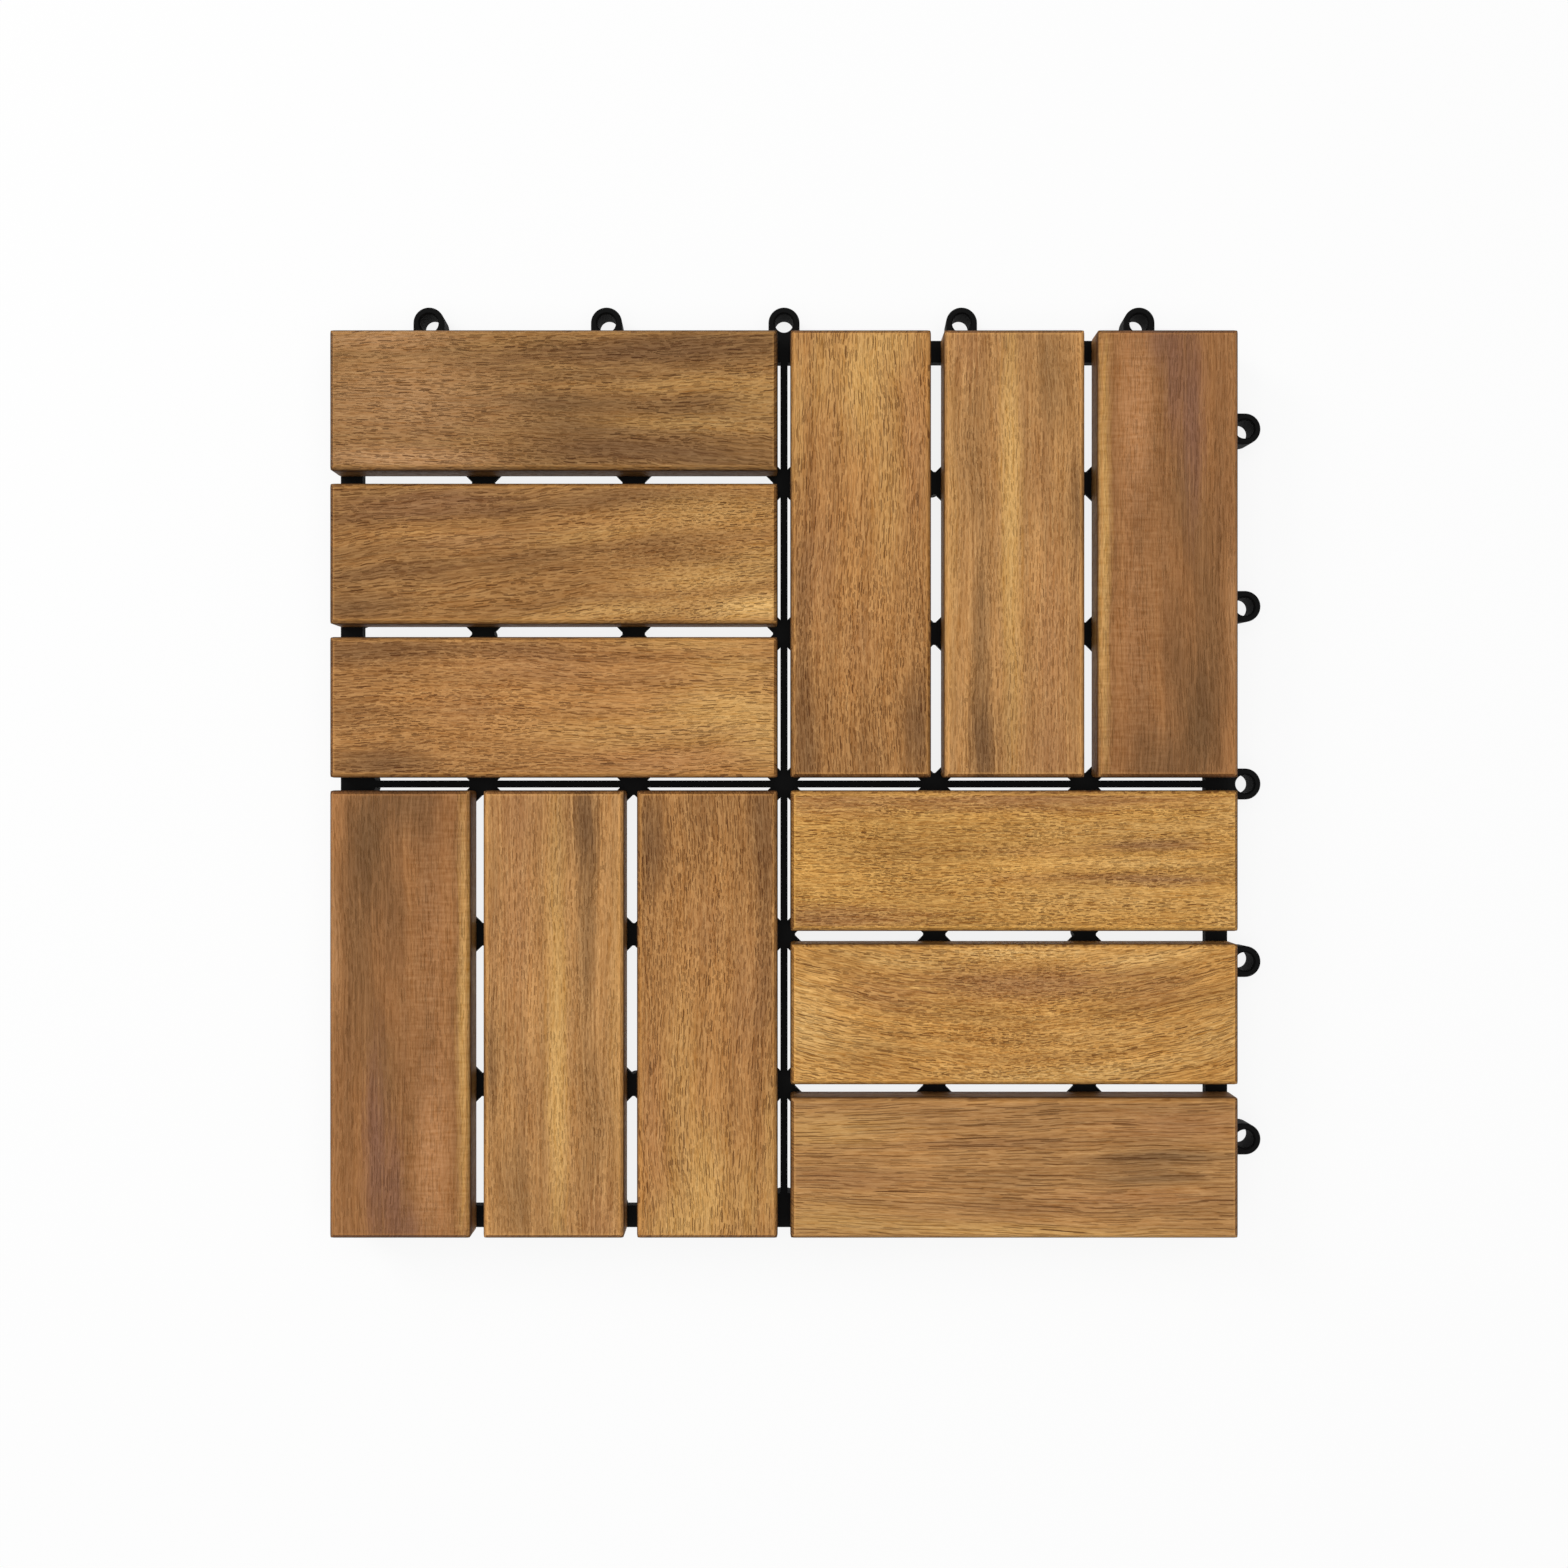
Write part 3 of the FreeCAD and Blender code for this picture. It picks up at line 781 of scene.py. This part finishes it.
def open_pores(finish, fibre_grain, plain_grain, shift, board):
    """Darkness of the pores: the strongest of three layers of dashes, less where pores don't crowd.

    A dash is as dark as its layer's strength times (1 + its chance squared) / 2.
    """
    run, bent, up = finish.parts(fibre_grain)
    slanted = finish.place(run, finish.product_plus(up, pore_slant, bent), up)
    pores = 0.0
    for (share, spread), strength in zip(pore_layers, (1.0, 0.7, board["cracks"])):
        length, gap = share * board["pore_length"], spread * board["pore_gap"]
        sizes = (pore_cell * length, gap, gap)
        places = finish.stretched(slanted, sizes, (shift[0] + 19 * share, *shift[1:]))
        dash, chance = dashes(finish, places, (pore_slim, 2 * gap / board["pore_width"], pore_stand))
        chance = finish.product_plus(finish.product(chance, chance), 0.5 * strength, 0.5 * strength)
        pores = finish.add("Math", {0: pores, 1: finish.product(dash, chance)}, operation="MAXIMUM")
    crowd = finish.noise(finish.stretched(plain_grain, crowd_size, shift), detail=1.0)
    return finish.product(pores, finish.product_plus(finish.level(crowd, 0.3, 0.62), 0.4, 0.6))


pore_lengths = {notes.get("pore_length", plain_board["pore_length"]) for notes in boards.values()}
print("lengths of a pore on the boards, in mm:", sorted(pore_lengths))

# %% [markdown]
# Edges and ends
#
# Painted shade darkens the lower edge of the bevel and, less, the walls below it; part of it stands
# for oil that gathers there. A painted highlight brightens the upper edge of the bevel. Sawn ends drink
# the oil, so end grain is darker than the face. The dark tones multiply the wood and leave its grain.

# %% Edges and ends
rim_full, rim_gone = 0.1, 0.65  # mm inside the outline, where the painted shade of the edge begins to fade and ends
wall_low, wall_high = 0.5, 4.5  # mm over the slat's middle, between which the painted shade and the oil thicken
wall_shade_and_oil, edge_shade_and_oil = 0.35, 0.9  # share of the dark edge tone, painted shade and oil, below that and above it
crease_place = top_bevel / mm   # mm inside the outline, where a highlight is painted along the edge
# Tone multiplied in along the rim and walls: painted shade, partly standing for oil
shaded_and_oiled_edge = (118, 108, 102)
oiled_end = (172, 158, 148)


def paint_edge_shade_and_highlight(finish, colour, spot, base):
    """Painted shade along the rim and the walls, partly oil, and a painted highlight along the upper edge of
    the bevel.

    The painted shade of the rim is full up to rim_full inside the outline and gone at rim_gone. The painted
    highlight goes up from 0.7 of its place, is 0.3 strong there, and is gone at 1.6 of it.
    """
    inside = finish.add("Attribute", {}, output="Fac", attribute_name="inside")
    # Painted shade, partly oil, thickening towards the top of the walls and along the rim
    shade_and_oil = finish.level(finish.parts(spot)[2], wall_low, wall_high, wall_shade_and_oil, edge_shade_and_oil)
    rim = finish.product(finish.level(inside, rim_full, rim_gone, 1.0, 0.0), shade_and_oil)
    # Painted highlight along the upper edge of the bevel
    highlight_rising = finish.level(inside, 0.7 * crease_place, crease_place)
    highlight_falling = finish.level(inside, crease_place, 1.6 * crease_place, 0.3, 0.0)
    colour = finish.blend(rim, colour, paint(*shaded_and_oiled_edge), "MULTIPLY")
    return finish.blend(finish.product(highlight_rising, highlight_falling), colour, shaded(base, 1.3, 1.32, 1.3))


def darken_ends(finish, colour, name):
    """Darker where the surface faces along the slat.

    The square of the normal's part that way goes by a smooth step from no share of the end tone
    at 0.1 to three quarters of it at 0.45.
    """
    facing = finish.add("NewGeometry", {}, output="Normal")
    ends = (0, 1, 0) if lies_along_y(name) else (1, 0, 0)
    towards_end = finish.add("VectorMath", {0: facing, 1: ends}, output="Value", operation="DOT_PRODUCT")
    end_grain = finish.level(finish.product(towards_end, towards_end), 0.1, 0.45, 0.0, 0.75)
    return finish.blend(end_grain, colour, paint(*oiled_end), "MULTIPLY")


# The bright edge in this print is a painted highlight
print("the edge is rubbed bright at", round(crease_place, 2), "mm inside the outline")


# %% Acacia for one board
def acacia(name, board):
    """Oiled acacia: ground, marks, fibres, pores, painted edge shade and highlight, and ends, each worked
    over the one before.
    """
    finish = Finish(name.replace("slat", "acacia"))
    spot = board_coordinates(finish, name, board)
    fibre_grain, plain_grain = grain_coordinates(finish, spot, board)
    shift = (0.3 * board["seed"], 1.7 * board["seed"], 0.9 * board["seed"])
    fibres = finish.noise(finish.stretched(fibre_grain, fibre_size, shift), detail=3.0, roughness=0.6)
    hairs = finish.noise(finish.stretched(fibre_grain, hair_size, shift), detail=2.0, roughness=0.65)
    lumps = finish.noise(finish.stretched(fibre_grain, lump_size, shift), detail=2.0, roughness=0.6)

    colour = growth_ground(finish, spot, plain_grain, shift, board)
    colour = add_marks(finish, colour, plain_grain, fibres, board)
    fields = ((fibres, 1.1 * board["streaks"]), (hairs, board["hairs"]), (lumps, board["lumps"]))
    detail = fibre_detail(finish, spot, fields, shift, board)
    tint = finish.add("VectorMath", {0: detail, 1: detail_tint, 2: (1, 1, 1)}, operation="MULTIPLY_ADD")
    colour = finish.add("VectorMath", {0: colour, 1: tint}, operation="MULTIPLY")

    pores = open_pores(finish, fibre_grain, plain_grain, shift, board)
    dark = finish.blend(0.9, colour, shaded(board["colour"], 0.45, 0.25, 0.0))
    colour = finish.blend(finish.product(pores, board["pores"]), colour, dark)
    # Painted shade along the rim and walls, partly oil, and a painted highlight on the bevel's upper edge
    colour = paint_edge_shade_and_highlight(finish, colour, spot, board["colour"])
    colour = darken_ends(finish, colour, name)

    relief = finish.product_plus(hairs, 0.25, finish.product(fibres, 0.35))
    relief = finish.product_plus(pores, -1.0, relief)
    bump = finish.add("Bump", {"Height": relief, "Strength": 0.9, "Distance": 0.3 * mm})
    rough = finish.product_plus(pores, 0.2, finish.product_plus(fibres, 0.16, 0.46))
    surface = finish.add("BsdfPrincipled", {
        "Base Color": colour, "Roughness": rough, "Normal": bump, "Specular IOR Level": 0.18,
    })
    return finish.done(surface)


# %% Dress the slats
def dress(piece, material):
    """Give every face of a piece the one material."""
    piece.data.materials.clear()
    piece.data.materials.append(material)


for name, notes in boards.items():
    dress(slats[name], acacia(name, dict(plain_board, **notes)))
print("slats dressed:", ", ".join(sorted(boards)))

# %% [markdown]
# Moulded black plastic
#
# The grid is one shot of black polypropylene. Faces that look up or down come from the part of the
# mould with a high polish, so they are satin; they are painted deep black. Upright walls come from its
# eroded part and are duller, and they are painted a lighter grey, as painted light on the sides, with a
# faint flow pattern. The edges are never sharp, because the mould is cut with small cutters, so the
# shader rounds them for the light.

# %% Black polypropylene
grit_size = (0.35 * mm,) * 3
flow_size = (14 * mm, 14 * mm, 5 * mm)
moulded_edge = 0.3 * mm


def black_plastic():
    """Near black with a fine grain, cloudy gloss and edges rounded for the light.

    The share of polish, and of deep black over the walls' painted lighter grey, goes by the normal's
    upright part, up or down, from none at 0.4 to all at 0.95.
    """
    finish = Finish("black_polypropylene")
    spot = finish.add("TexCoord", {}, output="Object")
    grit = finish.noise(finish.stretched(spot, grit_size), detail=2.0, roughness=0.6)
    flow = finish.noise(finish.stretched(spot, flow_size), detail=3.0)
    upright = finish.parts(finish.add("NewGeometry", {}, output="Normal"))[2]
    faces_up_or_down = finish.level(finish.add("Math", {0: upright}, operation="ABSOLUTE"), 0.4, 0.95)
    # Upright walls are painted lighter grey than the tops: painted light on the sides, with a flow pattern
    painted_lit_wall = finish.ramp(flow, ((0.3, paint(24, 24, 24)), (0.7, paint(33, 33, 33))))
    colour = finish.blend(faces_up_or_down, painted_lit_wall, paint(6, 6, 6))
    rough = finish.product_plus(flow, 0.15, finish.product_plus(faces_up_or_down, -0.25, 0.65))
    rounded = finish.add("Bevel", {"Radius": moulded_edge}, samples=4)
    bump = finish.add("Bump", {"Height": grit, "Strength": 0.25, "Distance": 0.03 * mm, "Normal": rounded})
    surface = finish.add("BsdfPrincipled", {
        "Base Color": colour, "Roughness": rough, "Normal": bump, "Specular IOR Level": 0.06,
    })
    return finish.done(surface)


dress(nodes["base_grid"], black_plastic())
print("dressed in plastic: base_grid, with", len(nodes["base_grid"].data.polygons), "faces")

# %% [markdown]
# Zinc plated screws
#
# The screws are seen only from below: flat heads with a cross, zinc plated with a thin yellowish
# bloom. Fine turning marks on such a small head would be lost, so a soft cloudiness in the gloss
# does the work.

# %% Zinc plate
bloom_size = (1.6 * mm,) * 3


def zinc_plate():
    """Bright metal with a warm cast and cloudy gloss."""
    finish = Finish("zinc_plate")
    spot = finish.add("TexCoord", {}, output="Object")
    bloom = finish.noise(finish.stretched(spot, bloom_size), detail=3.0)
    colour = finish.ramp(bloom, ((0.3, paint(176, 174, 168)), (0.7, paint(206, 200, 184))))
    surface = finish.add("BsdfPrincipled", {
        "Base Color": colour, "Metallic": 1.0, "Roughness": finish.product_plus(bloom, 0.3, 0.18),
    })
    return finish.done(surface)


dress(nodes["slat_screws"], zinc_plate())
print("dressed in zinc: slat_screws, with", len(nodes["slat_screws"].data.polygons), "faces")

# %% [markdown]
# The studio
#
# The tile lies on a wide white floor under a big soft lamp, with a smaller one at the back left,
# and the camera hangs straight above it. The floor is white to the camera by a light of its own,
# which leaves the tile's light alone, and a share of it stays plain paint, so that the tile keeps
# its shadow. The sky is about as bright to the camera as the far floor looks, so that no horizon
# shows from the side.

# %% The floor
floor_half = 15.0               # metres from its middle to a side
floor_drop = 0.05 * mm          # below the feet, so that no two faces lie in one plane
own_light = 0.86                # share of the floor that the camera sees as white light
plain_paint = (0.86, 0.86, 0.86, 1)
white = (1, 1, 1, 1)

floor_mesh = bpy.data.meshes.new("studio_floor")
floor_corners = [(x * floor_half, y * floor_half, 0) for x, y in ((-1, -1), (1, -1), (1, 1), (-1, 1))]
floor_mesh.from_pydata(floor_corners, [], [(0, 1, 2, 3)])
floor = bpy.data.objects.new("studio_floor", floor_mesh)
bpy.context.scene.collection.objects.link(floor)
floor.location.z = -floor_drop


def studio_white():
    """White light for the camera, glossy and clear rays, mixed with plain paint for the lamps."""
    finish = Finish("studio_white")
    seen = finish.tree.nodes.new("ShaderNodeLightPath").outputs
    by_eye = finish.add("Math", {0: seen["Is Camera Ray"], 1: seen["Is Glossy Ray"]}, operation="MAXIMUM")
    by_eye = finish.add("Math", {0: by_eye, 1: seen["Is Transmission Ray"]}, operation="MAXIMUM")
    white_paint = finish.add("BsdfDiffuse", {"Color": plain_paint})
    white_light = finish.add("Emission", {"Color": white, "Strength": 1.0})
    share = finish.product(by_eye, own_light)
    return finish.done(finish.add("MixShader", {0: share, 1: white_paint, 2: white_light}))


floor_mesh.materials.append(studio_white())
print("floor:", 2 * floor_half, "m wide")

# %% The sky
sky_light = 0.3                 # strength of the light that it gives the tile
sky_seen = 0.9                  # brightness that the camera sees

world = bpy.data.worlds.new("studio_sky")
bpy.context.scene.world = world
world.use_nodes = True
sky = world.node_tree.nodes["Background"]
sky.inputs["Color"].default_value = white
light_path = world.node_tree.nodes.new("ShaderNodeLightPath")
sky_level = world.node_tree.nodes.new("ShaderNodeMapRange")
sky_level.inputs["To Min"].default_value = sky_light
sky_level.inputs["To Max"].default_value = sky_seen
world.node_tree.links.new(light_path.outputs["Is Camera Ray"], sky_level.inputs["Value"])
world.node_tree.links.new(sky_level.outputs[0], sky.inputs["Strength"])
print("sky:", sky_light, "as light and", sky_seen, "to the camera")


# %% The lamps
def soft_lamp(name, place, size, power):
    """Square lamp at a place in metres, with a power in watts, that faces the middle of the tile."""
    lamp = bpy.data.lights.new(name, "AREA")
    lamp.size = size
    lamp.energy = power
    piece = bpy.data.objects.new(name, lamp)
    bpy.context.scene.collection.objects.link(piece)
    piece.location = place
    direction = -piece.location
    piece.rotation_mode = "QUATERNION"
    piece.rotation_quaternion = direction.to_track_quat("-Z", "Y")
    return piece


lamps = [
    soft_lamp("overhead_lamp", place=(0, 0, 1.6), size=2.0, power=21.9),
    soft_lamp("key_lamp", place=(-1.2, 0.9, 1.0), size=0.6, power=10.0),
]
print("lamps:", ", ".join(lamp.name for lamp in lamps))

# %% The camera above the tile
camera_height = 0.574           # metres over the floor
sensor_width, lens = 36, 38.3   # mm
camera_data = bpy.data.cameras.new("portrait_camera")
camera_data.sensor_width = sensor_width
camera_data.lens = lens
camera = bpy.data.objects.new("portrait_camera", camera_data)
bpy.context.scene.collection.objects.link(camera)
camera.location = (0, 0, camera_height)
bpy.context.scene.camera = camera
bpy.context.scene.view_settings.view_transform = "Standard"
frame_width = (camera_height - cad_high[2]) * sensor_width / lens
print("the camera sees", round(frame_width, 3), "m from side to side at the slats' faces")
